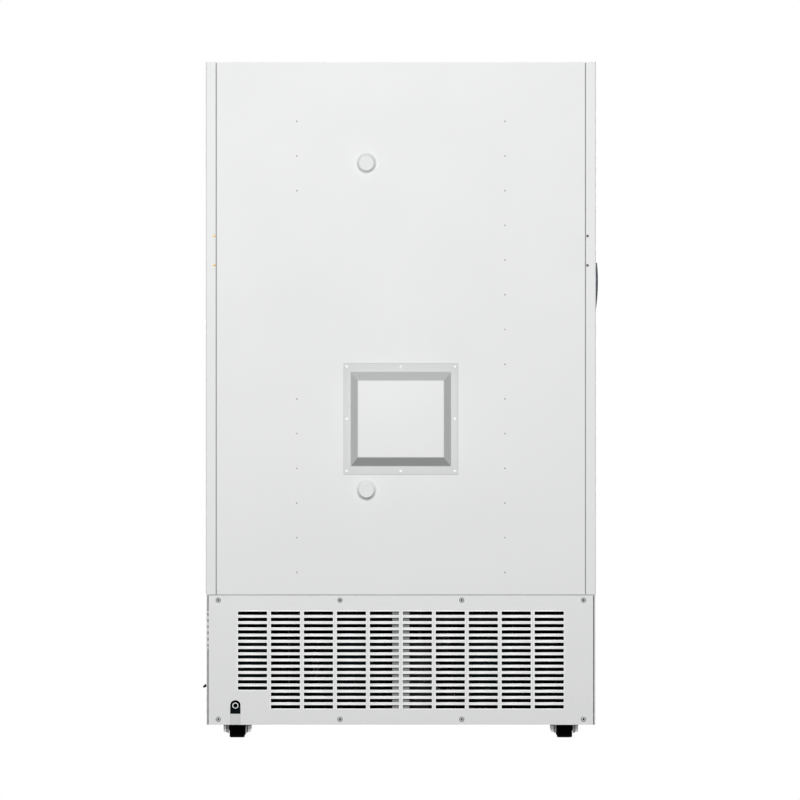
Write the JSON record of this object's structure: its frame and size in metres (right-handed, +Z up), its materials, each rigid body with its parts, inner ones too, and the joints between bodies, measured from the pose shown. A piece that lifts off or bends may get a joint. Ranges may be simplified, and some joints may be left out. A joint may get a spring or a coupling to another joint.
{
  "type": "ultra low temperature freezer",
  "caption": "Upright ultra low temperature freezer on casters, with vented machine base, rear access ports, foamed door with lever handle, inner doors and shelves.",
  "frame": {"origin": "on the floor, under the middle of the outer box", "axes": "+Z up; the door faces -Y and the vented service side faces +Y; +X is the side of the door's hinge and of the power switch"},
  "size_m": [1.165, 0.995, 1.98],
  "materials": {
    "white_enamel": "satin",
    "grey_enamel": "satin",
    "dark_enamel": "satin",
    "zinc_steel": "satin",
    "stainless": "brushed",
    "foam": "matte",
    "white_plastic": "satin",
    "grey_plastic": "satin",
    "slate_plastic": "satin",
    "black_plastic": "satin",
    "gasket_rubber": "matte",
    "wheel_rubber": "matte",
    "copper": "satin",
    "brass": "satin",
    "aluminium": "satin",
    "filter_mat": "matte",
    "screen_glass": "gloss"
  },
  "bodies": {
    "cabinet": {"side_panel_right": "white_enamel", "side_panel_left": "white_enamel", "top_panel": "white_enamel", "back_panel": "white_enamel", "cabinet_floor": "grey_enamel", "insulation": "foam", "inner_liner": "stainless", "breaker_strips": "white_plastic", "shelf_rails": "stainless", "shelves": "stainless", "heat_exchanger_cover": "white_enamel", "rear_screws": "zinc_steel", "cascade_exchanger": "stainless", "evaporator_coil": "copper", "threaded_inserts": "brass", "back_panel_rivets": "zinc_steel", "port_sleeves": "white_plastic", "hinge_brackets": "zinc_steel", "latch_keeper": "zinc_steel", "base_frame": "grey_enamel", "base_deck": "grey_enamel", "base_side_right": "white_enamel", "base_side_left": "white_enamel", "rear_grille": "white_enamel", "cord_gland": "grey_plastic", "condenser": "aluminium", "fan_units": "dark_enamel", "compressor_first_stage": "dark_enamel", "compressor_second_stage": "dark_enamel", "refrigerant_lines": "copper", "control_box": "grey_enamel", "caster_mounts": "zinc_steel"},
    "door": {"door_shell": "white_enamel", "door_insulation": "foam", "door_liner": "white_plastic", "door_gasket": "gasket_rubber", "handle_housing": "slate_plastic", "door_fittings": "zinc_steel", "control_panel": "black_plastic", "touchscreen": "screen_glass"},
    "handle": {"door_handle": "slate_plastic"},
    "lock": {"lock_barrel": "zinc_steel"},
    "relief_valve": {"valve_knob": "black_plastic"},
    "inner_door_up": {"inner_door_upper": "white_plastic"},
    "inner_door_low": {"inner_door_lower": "white_plastic"},
    "grille": {"front_grille": "white_enamel", "air_filter": "filter_mat"},
    "fan_right": {"fan_blade_right": "black_plastic"},
    "fan_left": {"fan_blade_left": "black_plastic"},
    "toggle": {"power_toggle": "black_plastic"},
    "plug_up": {"port_plug_upper": "white_plastic"},
    "plug_low": {"port_plug_lower": "white_plastic"},
    "front_caster_right": {"front_fork_right": "zinc_steel"},
    "front_caster_left": {"front_fork_left": "zinc_steel"},
    "brake_right": {"caster_brake_right": "black_plastic"},
    "brake_left": {"caster_brake_left": "black_plastic"},
    "wheel_rear_right": {"caster_wheel_rear_right": "wheel_rubber"},
    "wheel_rear_left": {"caster_wheel_rear_left": "wheel_rubber"},
    "wheel_front_right": {"caster_wheel_front_right": "wheel_rubber"},
    "wheel_front_left": {"caster_wheel_front_left": "wheel_rubber"}
  },
  "joints": [
    {"name": "door_swing", "type": "hinge", "parent": "cabinet", "child": "door", "pos_m": [0.551, -0.407, 0.424], "axis": [0, 0, 1], "range_deg": [0, 115]},
    {"name": "inner_door_upper_swing", "type": "hinge", "parent": "cabinet", "child": "inner_door_up", "pos_m": [0.4475, -0.3415, 1.2], "axis": [0, 0, 1], "range_deg": [0, 95]},
    {"name": "inner_door_lower_swing", "type": "hinge", "parent": "cabinet", "child": "inner_door_low", "pos_m": [0.4475, -0.3415, 0.53], "axis": [0, 0, 1], "range_deg": [0, 95]},
    {"name": "handle_pull", "type": "hinge", "parent": "door", "child": "handle", "pos_m": [-0.5465, -0.468, 1.311], "axis": [0, 0, -1], "range_deg": [0, 35]},
    {"name": "lock_turn", "type": "hinge", "parent": "door", "child": "lock", "pos_m": [-0.52, -0.4525, 1.16], "axis": [0, 1, 0], "range_deg": [0, 90]},
    {"name": "valve_push", "type": "slide", "parent": "door", "child": "relief_valve", "axis": [0, 1, 0], "range_m": [0, 0.006], "stiffness_N_per_m": 400},
    {"name": "grille_drop", "type": "hinge", "parent": "cabinet", "child": "grille", "pos_m": [0, -0.4275, 0.055], "axis": [1, 0, 0], "range_deg": [0, 85]},
    {"name": "fan_right_spin", "type": "hinge", "parent": "cabinet", "child": "fan_right", "pos_m": [0.165, -0.3275, 0.2155], "axis": [0, 1, 0], "continuous": true},
    {"name": "fan_left_spin", "type": "hinge", "parent": "cabinet", "child": "fan_left", "pos_m": [-0.165, -0.3275, 0.2155], "axis": [0, 1, 0], "continuous": true},
    {"name": "switch_toggle", "type": "hinge", "parent": "cabinet", "child": "toggle", "pos_m": [0.5633, 0, 0.157], "axis": [0, -1, 0], "range_deg": [0, 60]},
    {"name": "port_plug_upper_pull", "type": "slide", "parent": "cabinet", "child": "plug_up", "axis": [0, 1, 0], "range_m": [0, 0.06]},
    {"name": "port_plug_lower_pull", "type": "slide", "parent": "cabinet", "child": "plug_low", "axis": [0, 1, 0], "range_m": [0, 0.06]},
    {"name": "wheel_rear_right_roll", "type": "hinge", "parent": "cabinet", "child": "wheel_rear_right", "pos_m": [0.48, 0.35, 0.028], "axis": [1, 0, 0], "continuous": true},
    {"name": "wheel_rear_left_roll", "type": "hinge", "parent": "cabinet", "child": "wheel_rear_left", "pos_m": [-0.48, 0.35, 0.028], "axis": [1, 0, 0], "continuous": true},
    {"name": "caster_front_right_swivel", "type": "hinge", "parent": "cabinet", "child": "front_caster_right", "pos_m": [0.48, -0.3, 0.06], "axis": [0, 0, 1], "continuous": true},
    {"name": "caster_front_left_swivel", "type": "hinge", "parent": "cabinet", "child": "front_caster_left", "pos_m": [-0.48, -0.3, 0.06], "axis": [0, 0, 1], "continuous": true},
    {"name": "wheel_front_right_roll", "type": "hinge", "parent": "front_caster_right", "child": "wheel_front_right", "pos_m": [0.48, -0.282, 0.028], "axis": [1, 0, 0], "continuous": true},
    {"name": "wheel_front_left_roll", "type": "hinge", "parent": "front_caster_left", "child": "wheel_front_left", "pos_m": [-0.48, -0.282, 0.028], "axis": [1, 0, 0], "continuous": true},
    {"name": "brake_right_press", "type": "hinge", "parent": "front_caster_right", "child": "brake_right", "pos_m": [0.48, -0.26, 0.056], "axis": [-1, 0, 0], "range_deg": [0, 12]},
    {"name": "brake_left_press", "type": "hinge", "parent": "front_caster_left", "child": "brake_left", "pos_m": [-0.48, -0.26, 0.056], "axis": [-1, 0, 0], "range_deg": [0, 12]}
  ],
  "couplings": [
    {"joint": "inner_door_upper_swing", "follows": "door_swing", "ratio": 0.8},
    {"joint": "inner_door_lower_swing", "follows": "door_swing", "ratio": 0.8}
  ]
}
